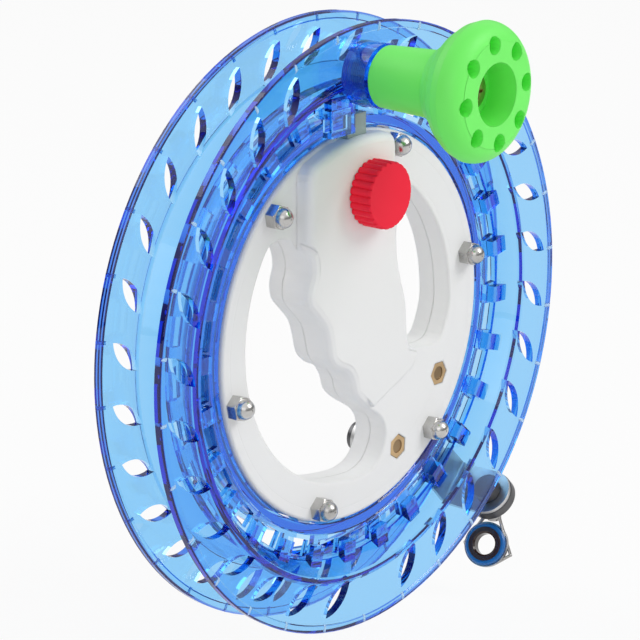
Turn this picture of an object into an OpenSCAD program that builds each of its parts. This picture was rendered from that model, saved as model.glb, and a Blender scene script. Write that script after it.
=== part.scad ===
// Hand kite line winder: a clear flanged wheel that runs on six small ball bearings round a
// two-shell hand disc, with a crank knob, a sliding wheel lock and a swivelling line guide.
// The wheel turns about the Y axis, the crank side faces -Y and +Z is up. Sizes are in mm.

/* [Wheel] */
// outside radius of the two flanges
wheel_r = 110; // [104:1:118]
// width over the two flanges
wheel_w = 30; // [28:0.5:36]
// thickness of each flange
flange_t = 3.4; // [2.6:0.1:4]
// radial width of the bead round each rim
bead_w = 2.6; // [1.6:0.1:4]
// height of the bead over the flange face
bead_h = 0.4; // [0.2:0.1:0.8]
// radius of the drum that the line winds on
drum_r = 87.5; // [87:0.5:90]
// thickness of the drum wall
drum_t = 2; // [1.6:0.1:2.4]
// widening of the drum wall from its waist to its mouth
drum_flare = 4.5; // [3:0.1:6]
// thickness of the web inside the drum
web_t = 2; // [1.5:0.1:2.6]
// thickness of the rim that runs on the bearings
track_t = 3.15; // [2.4:0.05:3.6]
// number of windows and of ratchet teeth round the web
tooth_count = 28; // [20:4:32]
// width of a ratchet tooth
tooth_w = 6; // [5:0.1:6.4]
// height of a ratchet tooth over the web
tooth_h = 3; // [2.5:0.1:3.6]
// radial length of a ratchet tooth
tooth_l = 5.8; // [5.4:0.1:6]
// width of a window between two teeth
window_w = 10.4; // [8:0.1:11.5]
// number of slot places round each flange
slot_count = 30; // [24:1:32]
// width of a leaf-shaped flange slot
slot_w = 6; // [4:0.1:7]
// angle by which a slot leans back towards the drum
slot_lean = 6.6; // [3:0.1:9]
// distance from the rim to the outer point of a slot
slot_out = 5.3; // [4:0.1:7]
// distance from the drum mouth to the inner point of a slot
slot_in = 2.1; // [1.6:0.1:3]

/* [Crank] */
// distance from the wheel axis to the crank axis
crank_r = 93.6; // [91:0.5:97]
// direction of the crank from the wheel axis, at rest
crank_a = 93.4; // [93:0.1:94]
// outside radius of the crank boss
boss_r = 11.3; // [10.4:0.1:12]
// height of the crank boss over the flange
boss_h = 9.5; // [8:0.5:12]
// radius of the sleeve moulded into the boss
sleeve_r = 8.6; // [7.6:0.1:9]
// spacing of the grip rings round the sleeve
ring_pitch = 0.8; // [0.7:0.1:1.2]
// radius of the crank spindle
spindle_r = 4; // [3:0.1:4.6]
// outside radius of the bush in the knob
bush_r = 6; // [5.6:0.1:6.6]
// length of the crank knob
knob_l = 47.2; // [44:0.2:56]
// radius of the knob stem next to the wheel
stem_r = 10.8; // [9.6:0.1:11.4]
// largest radius of the knob head
head_r = 24; // [22.5:0.5:26]
// length of the knob head
head_l = 23; // [21:0.5:25]
// radius of the recess in the knob head
recess_r = 10.75; // [9.5:0.25:12]
// depth of the recess in the knob head
recess_l = 11.5; // [9:0.5:13]
// number of finger holes round the knob face
dimple_count = 8; // [6:1:10]
// radius of a finger hole
dimple_r = 3.1; // [2.2:0.1:3.4]
// depth of a finger hole
dimple_l = 5; // [3:0.5:7]
// radius of the screw head in the knob
screw_head_r = 6.2; // [6.1:0.05:7]

/* [Hand disc] */
// radius of the hand disc
disc_r = 71; // [70:0.2:72]
// thickness of the two shells together
disc_t = 14.6; // [13.6:0.2:15.4]
// radius of the hand opening's outer side
bay_r = 59.4; // [56:0.2:60]
// rounding of the plain edges of the disc
edge_r = 1; // [0.5:0.1:1.5]
// rounding of the grip's edges
grip_edge_r = 3; // [1.5:0.1:3.4]
// height of the lock housing over the disc
housing_h = 6.7; // [6.5:0.1:7.4]
// fall of the grip's face from the housing to its lower end
grip_fall = 4.4; // [3:0.1:4.6]
// width of the gap between the pieces that pass each other
pass_gap = 0.3; // [0.25:0.05:0.4]
// radial clearance of a shaft that turns in its hole
run_gap = 0.06; // [0.03:0.01:0.1]

/* [Bearings] */
// number of bearings round the disc
bearing_count = 6; // [6:1:6]
// outside radius of a bearing
bearing_r = 6.5; // [6:0.1:6.8]
// width of a bearing
bearing_w = 4; // [3.5:0.1:4.4]
// distance from the disc edge in to a bearing's centre
bearing_inset = 4.95; // [4.6:0.05:5.4]
// radius of a bearing's inner ring
inner_ring_r = 3.6; // [3.3:0.1:4]
// direction of the first bearing, at rest
bearing_a = 12; // [10:1:14]
// radius of all the bolts through the disc
bolt_r = 2.5; // [2:0.1:2.6]
// width across the flats of the nuts and bolt heads
nut_af = 8; // [7:0.1:8.4]
// height of the hexagon of a cap nut
nut_h = 4; // [3:0.1:5]
// radius of a cap nut's dome
dome_r = 3.75; // [3.2:0.05:3.9]
// height of a cap nut over all
cap_h = 8; // [7.6:0.1:9]
// height of a bolt's head
bolt_head_h = 3.5; // [2.5:0.1:4]

/* [Wheel lock] */
// distance from the disc edge in to the lock knob's axis
lock_inset = 20.9; // [20.6:0.1:21.4]
// sideways place of the lock knob's axis
lock_x = 0.2; // [-0.5:0.1:0.8]
// radius of the lock knob
lock_knob_r = 12; // [11:0.1:12.4]
// thickness of the lock knob
lock_knob_t = 8.6; // [7:0.1:10]
// number of lobes round the lock knob
lobe_count = 26; // [18:1:30]
// radius of the lock spindle
lock_spindle_r = 3; // [2.5:0.1:3.4]
// radius of the cam disc
cam_r = 11.5; // [11.2:0.1:11.8]
// thickness of the cam disc
cam_t = 1.5; // [1.2:0.1:1.6]
// angle that the lock knob turns through
lock_turn = 100; // [80:5:110]
// travel of the lock pawl
pawl_travel = 4.2; // [3:0.1:4.4]
// distance of the pawl pin from the lock axis, at rest
pin_rest_r = 4.5; // [4.2:0.1:4.8]
// radius of the pawl pin
pin_r = 1.5; // [1:0.1:1.6]
// thickness of the pawl
pawl_t = 3; // [2.5:0.1:3.2]
// width of the pawl's nose
pawl_w = 10; // [8:0.1:10.4]
// width of the pawl inside the housing
pawl_body_w = 16.4; // [14:0.2:17]
// offset of the pawl's nose from the lock axis
pawl_off = 3.2; // [3:0.1:3.4]

/* [Line guide] */
// direction of the guide bracket from the wheel axis
guide_a = -45; // [-46:0.5:-44]
// thickness of the bracket sheet
sheet_t = 1.8; // [1.5:0.1:2]
// width of the bracket arm
arm_w = 18; // [16:0.5:20]
// distance from the rim to the bracket's lip
lip_gap = 14; // [12:0.5:20]
// distance of the bracket from the wheel's rear face
back_gap = 1; // [0.6:0.1:2]
// place of the swivel in front of the wheel's mid-plane
swivel_w = 2.5; // [-2:0.5:4]
// radius of the swivel housing
swivel_r = 9.25; // [8:0.25:10.5]
// height of the swivel housing
swivel_h = 4; // [3:0.1:5]
// radius of the swivel pin
swivel_pin_r = 3; // [2:0.1:3.2]
// radius of the swivel pin's head
swivel_head_r = 5.4; // [4.6:0.1:6]
// outside radius of the guide tube
tube_r = 2.3; // [2:0.1:2.4]
// radius of the guide ring's frame
eye_r = 8.6; // [8.4:0.1:9.4]
// inside radius of the guide ring
eye_bore_r = 4.2; // [3:0.1:4.8]
// radius of the guide frame's wires
wire_r = 0.6; // [0.5:0.05:0.8]

/* [Hidden] */
$fn = 64;
over = 1;                        // overrun of every cut
bite = 0.5;                      // depth that a rib or block is sunk into its carrier
fit_gap = 0.05;                  // clearance of fixed pins and bolts in their holes
blue = [0.10, 0.35, 0.90, 0.55];
white = [0.93, 0.93, 0.92];
steel = [0.72, 0.73, 0.75];
brass = [0.78, 0.62, 0.28];
dark = [0.16, 0.16, 0.18];

// levels along the wheel axis, counted from the mid-plane towards the crank side
disc_w = disc_t / 2;             // front face of the disc
web_w = disc_w - pass_gap;       // front face of the web
rim_w = web_w - pass_gap;        // front face of the running rim
face_w = wheel_w / 2;            // front face of the wheel
roof_w = disc_w + housing_h;     // face of the lock housing
boss_w = face_w + boss_h;        // end of the crank boss

// radii of the wheel
track_r = disc_r - bearing_inset + bearing_r + pass_gap;
run_lip = 0.9;                   // gap between the disc edge and the wheel's lips
run_lip_r = disc_r + run_lip;
track_out_r = track_r + track_t;
lip_w = bearing_w / 2 + fit_gap * 8;
chamber_r = drum_r - drum_t;
cone_in_r = drum_r - drum_t - bite;
mouth_r = cone_in_r + drum_flare + web_t * 0.35;
shoulder_r = drum_r + drum_flare;
round_r = 0.8;                   // chamfer of the rim's inner edge
small_r = 0.4;                   // small corner breaks
skin = 0.025;                    // step that keeps joined faces of one piece apart
tooth_out_r = cone_in_r;
tooth_in_r = tooth_out_r - tooth_l;
window_out_r = tooth_out_r - 1.4 * small_r * 2.5;
window_in_r = track_out_r + 4 * small_r;
slot_out_r = wheel_r - slot_out;
slot_in_r = mouth_r + slot_in;
tooth_step = 360 / tooth_count;
slot_step = 360 / slot_count;
gap_a = 92.6;                    // direction of the tooth gap in front of the pawl
front_slot_a = 112.2;            // direction of the first front slot's outer point
rear_slot_a = 100.1;             // direction of the first rear slot's outer point
bare_slots = [13, 28, 29];       // front places with no slot: the plain field and the boss

// crank
crank_x = crank_r * cos(crank_a);
crank_z = crank_r * sin(crank_a);
sleeve_base_w = face_w - flange_t + fit_gap * 20;
knob_w = boss_w + pass_gap;
knob_end_w = knob_w + knob_l;
recess_w = knob_end_w - recess_l;
screw_w = recess_w + pass_gap;
leg_reach = 5.8;                 // how far the legs under the boss reach towards the disc

// hand disc
bearing_pitch_r = disc_r - bearing_inset;
pocket_r = bearing_r + pass_gap * 1.5;
pocket_w = bearing_w / 2 + pass_gap;
rear_edge_r = 2.4;
housing_r = disc_r - 0.7;
crease_z = disc_r - lock_inset - lock_knob_r - bite;
low_z_share = -0.44;
grip_low_r = 1.4;
bay_x_share = 0.014;
bay_z_share = 0.035;
// grip side of the hand bay: points as shares of the disc radius, and 1 where the grip is high
finger_shares = [
    [0.070, -0.807, 0], [0.172, -0.777, 0], [0.235, -0.701, 0], [0.252, -0.611, 0],
    [0.214, -0.535, 0], [0.132, -0.475, 0], [0.037, -0.421, 1], [-0.031, -0.355, 1],
    [-0.059, -0.276, 1], [-0.107, -0.213, 1], [-0.183, -0.175, 1], [-0.242, -0.115, 1],
    [-0.268, -0.023, 1], [-0.301, 0.066, 1], [-0.366, 0.138, 1], [-0.428, 0.208, 1],
    [-0.438, 0.290, 1], [-0.414, 0.373, 1], [-0.434, 0.459, 1], [-0.479, 0.527, 0],
    [-0.546, 0.558, 0], [-0.617, 0.554, 0]];
// grip side of the small opening, in the same shares
thumb_shares = [
    [0.341, 0.639, 0], [0.272, 0.594, 0], [0.245, 0.507, 1], [0.246, 0.403, 1],
    [0.268, 0.290, 1], [0.310, 0.175, 1], [0.352, 0.062, 1], [0.369, -0.056, 1],
    [0.397, -0.161, 1], [0.468, -0.217, 0], [0.555, -0.238, 0], [0.645, -0.242, 0],
    [0.715, -0.210, 0]];
thumb_r = bay_r - 4.2;           // outer side of the small opening
// outline of the raised grip, run out past the openings that cut it
grip_left_shares = [
    [-0.451, 0.430], [-0.500, 0.345], [-0.521, 0.239], [-0.465, 0.113], [-0.394, 0.007],
    [-0.366, -0.099], [-0.303, -0.211], [-0.197, -0.275], [-0.169, -0.359],
    [-0.099, -0.444], [-0.021, -0.486], [0.065, -0.476], [0.151, -0.441],
    [0.239, -0.400], [0.338, -0.356], [0.420, -0.318], [0.449, -0.282],
    [0.459, -0.234], [0.479, -0.176], [0.465, -0.085], [0.448, 0.014], [0.415, 0.134],
    [0.373, 0.239], [0.345, 0.338], [0.331, 0.437]];
housing_left_shares = [[-0.403, 0.904], [-0.442, 0.866], [-0.451, 0.803], [-0.451, 0.662]];
housing_right_shares = [[0.292, 0.592], [0.232, 0.634], [0.220, 0.700], [0.220, 0.803],
    [0.220, 0.894], [0.204, 0.952]];
grip_edge_share = -0.451;
grip_inner_share = 0.324;

// bearings and bolts
nut_r = nut_af / sqrt(3);
trap_h = nut_h + small_r / 2;    // depth of the pockets for the bracket's nuts

// wheel lock
lock_z = disc_r - lock_inset;
pawl_w0 = disc_w;                // rear face of the pawl
pawl_w1 = disc_w + pawl_t;       // front face of the pawl
cam_w0 = pawl_w1 + pass_gap;
cam_w1 = cam_w0 + cam_t;
slide_gap = 0.1;
pocket_top_w = cam_w1 + pass_gap;
cam_pocket_r = cam_r + fit_gap * 10;
nose_x = lock_x - pawl_off;
nose_z = tooth_in_r - 1.2;       // end of the nose, at rest
shoulder_z = lock_z + pin_rest_r + 4.9;
foot_z = lock_z - 9.1;
slide_top_z = shoulder_z + pawl_travel + pass_gap;
retainer_t = 2.4;
retainer_w = 30;
retainer_l = 28.8;
retainer_z = lock_z;
screw_dx = 11.4;
screw_dz = 10.8;
small_screw_r = 1.5;
small_head_r = 2.75;
small_head_h = 2;
small_screw_l = 6.4;
knob_seat_w = roof_w + pass_gap;

// line guide
foot_a = -47.4;                  // direction of the middle of the bracket's foot
bolt_spread = 16.6;              // angle from there to each bracket bolt
bracket_bolt_r = disc_r - 13.6;  // distance of those bolts from the axis
bracket_head_r = 5.75;
bracket_head_h = 3.4;
foot_r = 7.6;
arm_r1 = wheel_r - 34;           // where the arm starts to step back
arm_r2 = wheel_r - 25.5;
arm_w0 = disc_w;
arm_w1 = face_w + back_gap;
bend_r = 2.2;                    // bend radius on the middle of the sheet
lip_r0 = wheel_r + lip_gap;
lip_r1 = lip_r0 + sheet_t;
swivel_top_r = lip_r1 + swivel_h;
hub_r0 = swivel_top_r + pass_gap;
hub_h = 3;
hub_r = 4.4;
pin_end_r = hub_r0 + hub_h - 1.2;
tube_lean = -45;
tube_l = 6.6;
tube_bore_r = tube_r - 0.7;
collar_r = tube_r + 0.7;
collar_l = 2.2;
tube_base = [hub_r0 + 1.2, -1.3];
tube_dir = [cos(tube_lean), sin(tube_lean)];
eye_c = [lip_r0 + 15.3, -15.5, swivel_w];
eye_tilt = 78.5;
eye_turn = 197.9;
band_w = 4.4;
band_out_r = eye_r - wire_r * 0.7;
insert_out_r = eye_bore_r + 2.4;
insert_w = 5;

// turns the drawing plane up, so that x stays, y becomes z and z points to the crank side
module stand() rotate([90, 0, 0]) children();
module polar(r, a) rotate([0, 0, a]) translate([r, 0, 0]) children();

// smooth closed line through the given points
function along(a, b, c, d, t) = 0.5 * (2 * b + (c - a) * t + (2 * a - 5 * b + 4 * c - d) * t * t
    + (3 * b - a - 3 * c + d) * t * t * t);
function smooth(p, n) = let(m = len(p)) [for (i = [0:m - 1]) for (k = [0:n - 1])
    along(p[(i + m - 1) % m], p[i], p[(i + 1) % m], p[(i + 2) % m], k / n)];
function facing(p, i) = let(m = len(p), d = p[(i + 1) % m] - p[(i + m - 1) % m])
    [d[1], -d[0]] / norm([d[0], d[1]]);
// ring number k of a wall whose upper edge is rounded by e: q = 0 at its foot, 1 at its face
function ring_at(p, h, e, q, way) = [for (i = [0:len(p) - 1]) let(a = 90 * q, f = facing(p, i))
    [p[i][0] + way * f[0] * e[i] * (1 - cos(a)), p[i][1] + way * f[1] * e[i] * (1 - cos(a)),
    h[i] - e[i] + e[i] * sin(a)]];
function flat_at(r, w) = [for (q = r) [q[0], q[1], w]];

// body through rings of equal length; a crease pair splits its top into two flat faces
module loft(rings, crease) {
    n = len(rings[0]);
    m = len(rings);
    t = (m - 1) * n;
    upper = crease == undef ? [for (i = [n - 1:-1:0]) t + i]
        : [for (i = [crease[0]:-1:0]) t + i, for (i = [n - 1:-1:crease[1]]) t + i];
    lower = crease == undef ? [] : [for (i = [crease[1]:-1:crease[0]]) t + i];
    sides = [for (j = [0:m - 2]) for (i = [0:n - 1]) each let(a = j * n + i,
        b = j * n + (i + 1) % n) [[a, a + n, b + n], [a, b + n, b]]];
    polyhedron(points = [for (r = rings) each r], convexity = 8,
        faces = concat([[for (i = [0:n - 1]) i]], sides, [upper],
            crease == undef ? [] : [lower]));
}

// height of the grip's face over the drawing plane
function grip_w(z) = z > crease_z ? roof_w
    : roof_w - grip_fall * (crease_z - z) / (crease_z - low_z_share * disc_r);
function cut01(v) = max(0, min(1, v));
bay_points = concat(
    [for (a = [145:10:265]) [bay_x_share * disc_r + bay_r * cos(a),
        bay_z_share * disc_r + bay_r * sin(a), 0]],
    [for (s = finger_shares) [s[0] * disc_r, s[1] * disc_r, s[2]]]);
thumb_points = concat(
    [for (s = thumb_shares) [s[0] * disc_r, s[1] * disc_r, s[2]]],
    [for (a = [-5:10:55]) [thumb_r * cos(a), thumb_r * sin(a), 0]]);

// tool that cuts an opening with rounded edges through the front or the rear shell
module opening(points, front) {
    p = smooth(points, 3);
    h = [for (q = p) front ? disc_w + cut01(q[2]) * (grip_w(q[1]) - disc_w) : disc_w];
    e = [for (q = p) edge_r + cut01(q[2]) * ((front ? grip_edge_r : rear_edge_r) - edge_r)];
    top = ring_at(p, h, e, 1, 1);
    rings = concat([flat_at(p, -over)], [for (q = [0:1 / 3:0.9]) ring_at(p, h, e, q, 1)], [top],
        [flat_at(top, roof_w + over)]);
    loft(rings);
}

module raised_grip() {
    rim = [for (a = [81:6.6:114]) [housing_r * cos(a), housing_r * sin(a)]];
    part_a = concat(rim, [for (s = housing_left_shares) s * disc_r]);
    part_b = [for (s = grip_left_shares) s * disc_r];
    part_c = [for (s = housing_right_shares) s * disc_r];
    steps = 2;
    p = smooth(concat(part_a, [[grip_edge_share * disc_r, crease_z]], part_b,
        [[grip_inner_share * disc_r, crease_z]], part_c), steps);
    i0 = len(part_a) * steps;
    i1 = (len(part_a) + 1 + len(part_b)) * steps;
    h = [for (q = p) grip_w(q[1])];
    e = [for (q = p) q[1] > 0 ? grip_edge_r : grip_low_r];
    base = flat_at(p, disc_w - bite);
    rings = concat([base], [for (q = [0:0.25:1]) ring_at(p, h, e, q, -1)]);
    fixed = [for (r = rings) [for (i = [0:len(r) - 1])
        i == i0 || i == i1 ? [r[i][0], crease_z, r[i][2]] : r[i]]];
    loft(fixed, [i0, i1]);
}

module hexagon(af, h) rotate([0, 0, 30]) cylinder(r = af / sqrt(3), h = h, $fn = 6);

module disc_blank() rotate_extrude() {
    square([disc_r - edge_r, disc_w]);
    square([disc_r, disc_w - edge_r]);
    translate([disc_r - edge_r, disc_w - edge_r]) circle(edge_r);
}

// pocket for one bearing, with the boss that its inner ring sits against
module bearing_pocket() difference() {
    translate([0, 0, -over]) cylinder(r = pocket_r, h = pocket_w + over);
    translate([0, 0, bearing_w / 2]) cylinder(r = inner_ring_r - fit_gap * 2, h = pocket_w);
}
module disc_holes() {
    for (k = [0:bearing_count - 1]) polar(bearing_pitch_r, bearing_a + 360 / bearing_count * k) {
        bearing_pocket();
        translate([0, 0, -over]) cylinder(r = bolt_r + fit_gap, h = disc_w + 2 * over);
    }
    for (s = [-1, 1]) polar(bracket_bolt_r, foot_a + s * bolt_spread)
        translate([0, 0, -over]) cylinder(r = bolt_r + fit_gap, h = disc_w + 2 * over);
}
module lock_space() {
    // round room for the cam, and the slide that leads the pawl out to the rim
    translate([lock_x, lock_z, pawl_w0 - slide_gap])
        cylinder(r = cam_pocket_r, h = pocket_top_w - pawl_w0 + slide_gap);
    translate([lock_x - pawl_body_w / 2 - slide_gap, foot_z - pass_gap, pawl_w0 - slide_gap])
        cube([pawl_body_w + 2 * slide_gap, slide_top_z - foot_z + pass_gap,
            pawl_t + 2 * slide_gap]);
    translate([nose_x - pawl_w / 2 - slide_gap, lock_z, pawl_w0 - slide_gap])
        cube([pawl_w + 2 * slide_gap, disc_r - lock_z + over, pawl_t + 2 * slide_gap]);
    // bay for the retainer, its screws and the spindle
    translate([lock_x - retainer_w / 2 - slide_gap, retainer_z - retainer_l / 2 - slide_gap, -over])
        cube([retainer_w + 2 * slide_gap, retainer_l + 2 * slide_gap,
            pawl_w0 - slide_gap + over]);
    for (x = [-1, 1]) for (z = [-1, 1])
        translate([lock_x + x * screw_dx, lock_z + z * screw_dz, 0])
            cylinder(r = small_screw_r + fit_gap, h = pawl_w0 + small_screw_l - retainer_t
                + small_r);
    translate([lock_x, lock_z, 0]) cylinder(r = lock_spindle_r + run_gap, h = roof_w + over);
}
module hand_disc_front() color(white) stand() difference() {
    union() {
        disc_blank();
        raised_grip();
    }
    opening(bay_points, true);
    opening(thumb_points, true);
    disc_holes();
    for (s = [-1, 1]) polar(bracket_bolt_r, foot_a + s * bolt_spread)
        translate([0, 0, disc_w - trap_h]) hexagon(nut_af + small_r, trap_h + over);
    lock_space();
}
module hand_disc_rear() color(white) stand() mirror([0, 0, 1]) difference() {
    disc_blank();
    opening(bay_points, false);
    opening(thumb_points, false);
    disc_holes();
}

module at_bearings() for (k = [0:bearing_count - 1])
    polar(bearing_pitch_r, bearing_a + 360 / bearing_count * k) children();
module bearing_bolts() color(steel) stand() at_bearings() {
    translate([0, 0, -disc_w - bolt_head_h]) hexagon(nut_af, bolt_head_h);
    translate([0, 0, -disc_w - fit_gap])
        cylinder(r = bolt_r, h = disc_t + cap_h - nut_h / 2);
}
module acorn_nuts() color(steel) stand() at_bearings() translate([0, 0, disc_w])
    rotate([0, 0, -60]) difference() {
    union() {
        intersection() {
            hexagon(nut_af, nut_h);
            cylinder(r1 = nut_r + nut_h - small_r, r2 = nut_r - small_r, h = nut_h);
        }
        cylinder(r = dome_r, h = cap_h - dome_r);
        translate([0, 0, cap_h - dome_r]) sphere(dome_r);
    }
    translate([0, 0, -over]) cylinder(r = bolt_r + fit_gap, h = cap_h - nut_h / 2 + over);
}
module bearing_inner_rings() color(steel) stand() at_bearings()
    translate([0, 0, -bearing_w / 2]) difference() {
        cylinder(r = inner_ring_r, h = bearing_w);
        translate([0, 0, -over]) cylinder(r = bolt_r + fit_gap, h = bearing_w + 2 * over);
    }
// outer ring of one bearing with its two shields
module bearing(k) color(steel) stand() polar(bearing_pitch_r,
    bearing_a + 360 / bearing_count * (k - 1)) rotate_extrude() {
    ring_t = (bearing_r - inner_ring_r) * 0.45;
    shield_w = bearing_w / 2 - small_r / 2;
    translate([bearing_r - ring_t, -bearing_w / 2]) square([ring_t, bearing_w]);
    for (s = [-1, 1]) translate([inner_ring_r + run_gap, s * (shield_w - small_r / 2)
        - small_r / 2]) square([bearing_r - ring_t - inner_ring_r, small_r]);
}

module lock_retainer() color(steel) stand() difference() {
    translate([lock_x - retainer_w / 2, retainer_z - retainer_l / 2,
        pawl_w0 - slide_gap - retainer_t]) cube([retainer_w, retainer_l, retainer_t]);
    for (x = [-1, 1]) for (z = [-1, 1])
        translate([lock_x + x * screw_dx, lock_z + z * screw_dz, 0])
            cylinder(r = small_screw_r + fit_gap, h = pawl_w0);
}
module retainer_screws() color(steel) stand() for (x = [-1, 1]) for (z = [-1, 1])
    translate([lock_x + x * screw_dx, lock_z + z * screw_dz,
        pawl_w0 - slide_gap - retainer_t]) {
        translate([0, 0, -small_head_h]) cylinder(r = small_head_r, h = small_head_h);
        cylinder(r = small_screw_r, h = small_screw_l);
    }

// leaf-shaped slot tool between the points at radius ra, angle aa and radius rb, angle ab
module leaf(ra, aa, rb, ab, w, h) {
    p = [ra * cos(aa), ra * sin(aa)];
    q = [rb * cos(ab), rb * sin(ab)];
    c = norm(p - q);
    r = (c * c / 4 + w * w / 4) / w;
    translate([(p[0] + q[0]) / 2, (p[1] + q[1]) / 2, 0])
        rotate([0, 0, atan2(p[1] - q[1], p[0] - q[0])]) linear_extrude(h) intersection() {
            translate([0, r - w / 2]) circle(r);
            translate([0, w / 2 - r]) circle(r);
        }
}
module slots(first, bare) for (k = [0:slot_count - 1]) if (len(search(k, bare)) == 0)
    translate([0, 0, face_w - flange_t - over])
        leaf(slot_out_r, first + k * slot_step, slot_in_r, first + k * slot_step + slot_lean,
            slot_w, flange_t + 2 * over);
module wheel_section() rotate_extrude() polygon([
    [chamber_r, 0], [drum_r, 0], [drum_r + bite, disc_w * 0.55],
    [shoulder_r, face_w - flange_t - small_r], [shoulder_r + 1, face_w - flange_t],
    [wheel_r - round_r, face_w - flange_t], [wheel_r, face_w - flange_t + round_r],
    [wheel_r, face_w - small_r], [wheel_r - small_r, face_w], [wheel_r - bead_w, face_w],
    [wheel_r - bead_w - bead_h, face_w - bead_h], [slot_in_r - small_r, face_w - bead_h],
    [slot_in_r - 2 * small_r, face_w], [mouth_r, face_w], [cone_in_r, web_w],
    [track_out_r, web_w], [track_out_r - small_r, rim_w], [run_lip_r + small_r, rim_w],
    [run_lip_r, rim_w - small_r], [run_lip_r, lip_w], [track_r, lip_w], [track_r, 0],
    [track_out_r, 0], [track_out_r, web_w - web_t], [chamber_r - 1, web_w - web_t],
    [chamber_r, web_w - web_t - 1]]);
module windows() for (k = [0:tooth_count - 1])
    polar((window_in_r + window_out_r) / 2, gap_a + k * tooth_step)
        translate([0, 0, web_w - web_t / 2])
            cube([window_out_r - window_in_r, window_w, web_t + small_r], center = true);
module teeth() for (k = [0:tooth_count - 1]) polar(0, gap_a + (k + 0.5) * tooth_step)
    translate([tooth_in_r, -tooth_w / 2, web_w - bite])
        cube([tooth_l + drum_t, tooth_w, tooth_h + bite]);
// box-like leg under the crank boss, standing on the web where it clears the pawl
module leg(x0, x1, z0) {
    top_z = sqrt(pow(mouth_r, 2) - pow(max(abs(x0), abs(x1)), 2)) - small_r;
    shelf_w = pawl_w1 + 3 * pass_gap;
    wall = web_t * 0.8;
    difference() {
        translate([x0, z0, shelf_w]) cube([x1 - x0, top_z - z0, face_w - shelf_w]);
        if (x1 - x0 > 5 * wall) translate([x0 + wall, z0 + wall, shelf_w - over])
            cube([x1 - x0 - 2 * wall, top_z - z0 - 4 * wall, face_w - shelf_w - wall + over]);
    }
    for (x = [x0, x1 - wall]) translate([x, tooth_in_r, web_w - small_r / 2])
        cube([wall, top_z - tooth_in_r - drum_t, shelf_w - web_w + small_r]);
}
module wheel_front_half() color(blue) stand() difference() {
    union() {
        wheel_section();
        teeth();
        translate([crank_x, crank_z, face_w - flange_t + small_r / 2])
            cylinder(r = boss_r, h = boss_w - face_w + flange_t - small_r / 2);
        leg(crank_x - 1.5 * boss_r, crank_x - 0.37 * boss_r, disc_r + 2);
        leg(crank_x + 0.92 * boss_r, crank_x + 1.34 * boss_r, disc_r + leg_reach);
    }
    slots(front_slot_a, bare_slots);
    windows();
    translate([crank_x, crank_z, sleeve_base_w]) cylinder(r = sleeve_r, h = boss_w);
}
module wheel_rear_half() color(blue) stand() mirror([0, 0, 1]) difference() {
    wheel_section();
    slots(rear_slot_a, []);
    windows();
}

module at_crank(w) stand() translate([crank_x, crank_z, w]) children();
module crank_sleeve() color(blue) at_crank(sleeve_base_w) difference() {
    sleeve_l = boss_w - sleeve_base_w;
    rings = floor(sleeve_l / ring_pitch);
    rotate_extrude() difference() {
        square([sleeve_r, sleeve_l]);
        for (k = [0:rings - 1]) translate([sleeve_r, (k + 0.5) * ring_pitch])
            rotate([0, 0, 45]) square(ring_pitch / 2, center = true);
    }
    translate([0, 0, ring_pitch]) cylinder(r = spindle_r, h = boss_w);
}
module crank_spindle() color(steel) at_crank(sleeve_base_w + ring_pitch) difference() {
    cylinder(r = spindle_r, h = screw_w - sleeve_base_w - ring_pitch);
    translate([0, 0, screw_w - sleeve_base_w - ring_pitch - knob_l / 4])
        cylinder(r = spindle_r / 2, h = knob_l);
}
module crank_screw() color(brass) at_crank(screw_w) difference() {
    head_h = screw_head_r * 0.56;
    union() {
        translate([0, 0, -knob_l / 5]) cylinder(r = spindle_r / 2 - fit_gap, h = knob_l / 5);
        rotate_extrude() intersection() {
            square([screw_head_r, head_h]);
            translate([0, head_h - screw_head_r * 2]) circle(screw_head_r * 2);
        }
    }
    for (a = [0, 90]) rotate([0, 0, a]) translate([0, 0, head_h])
        cube([screw_head_r * 0.9, screw_head_r / 6, head_h], center = true);
}
// half section of the crank knob: a slim stem that swells into a rounded head
module knob_section() {
    head_w = knob_l - head_l;
    mid_w = knob_l - head_l * 0.32;
    face_r = head_r * 0.76;
    stem_end_r = stem_r * 1.09;
    difference() {
        union() {
            polygon([[0, 0], [stem_r - 1, 0], [stem_r, 1], [stem_end_r, head_w],
                [stem_end_r + head_l * 0.09, head_w + head_l * 0.05],
                [head_r * 0.68, head_w + head_l * 0.2], [head_r * 0.85, head_w + head_l * 0.38],
                [head_r * 0.955, head_w + head_l * 0.54], [head_r, mid_w], [0, mid_w]]);
            intersection() {
                translate([0, mid_w]) square([head_r, knob_l - mid_w]);
                union() {
                    square([face_r, knob_l]);
                    translate([head_r - (knob_l - mid_w), mid_w]) circle(knob_l - mid_w);
                }
            }
        }
        translate([0, knob_l - recess_l]) square([recess_r, recess_l + over]);
        translate([0, -over]) square([bush_r, knob_l]);
    }
}
module crank_knob() color([0.25, 0.85, 0.25]) at_crank(knob_w) difference() {
    rotate_extrude() knob_section();
    for (k = [0:dimple_count - 1]) polar((recess_r + head_r) / 2 - small_r * 1.6,
        360 / dimple_count * k + 5.7) translate([0, 0, knob_l - dimple_l])
            cylinder(r = dimple_r, h = dimple_l + over);
}
module knob_bush() color(steel) at_crank(knob_w) difference() {
    cylinder(r = bush_r, h = knob_l - recess_l);
    translate([0, 0, -over]) cylinder(r = spindle_r + run_gap, h = knob_l + over);
}

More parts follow.
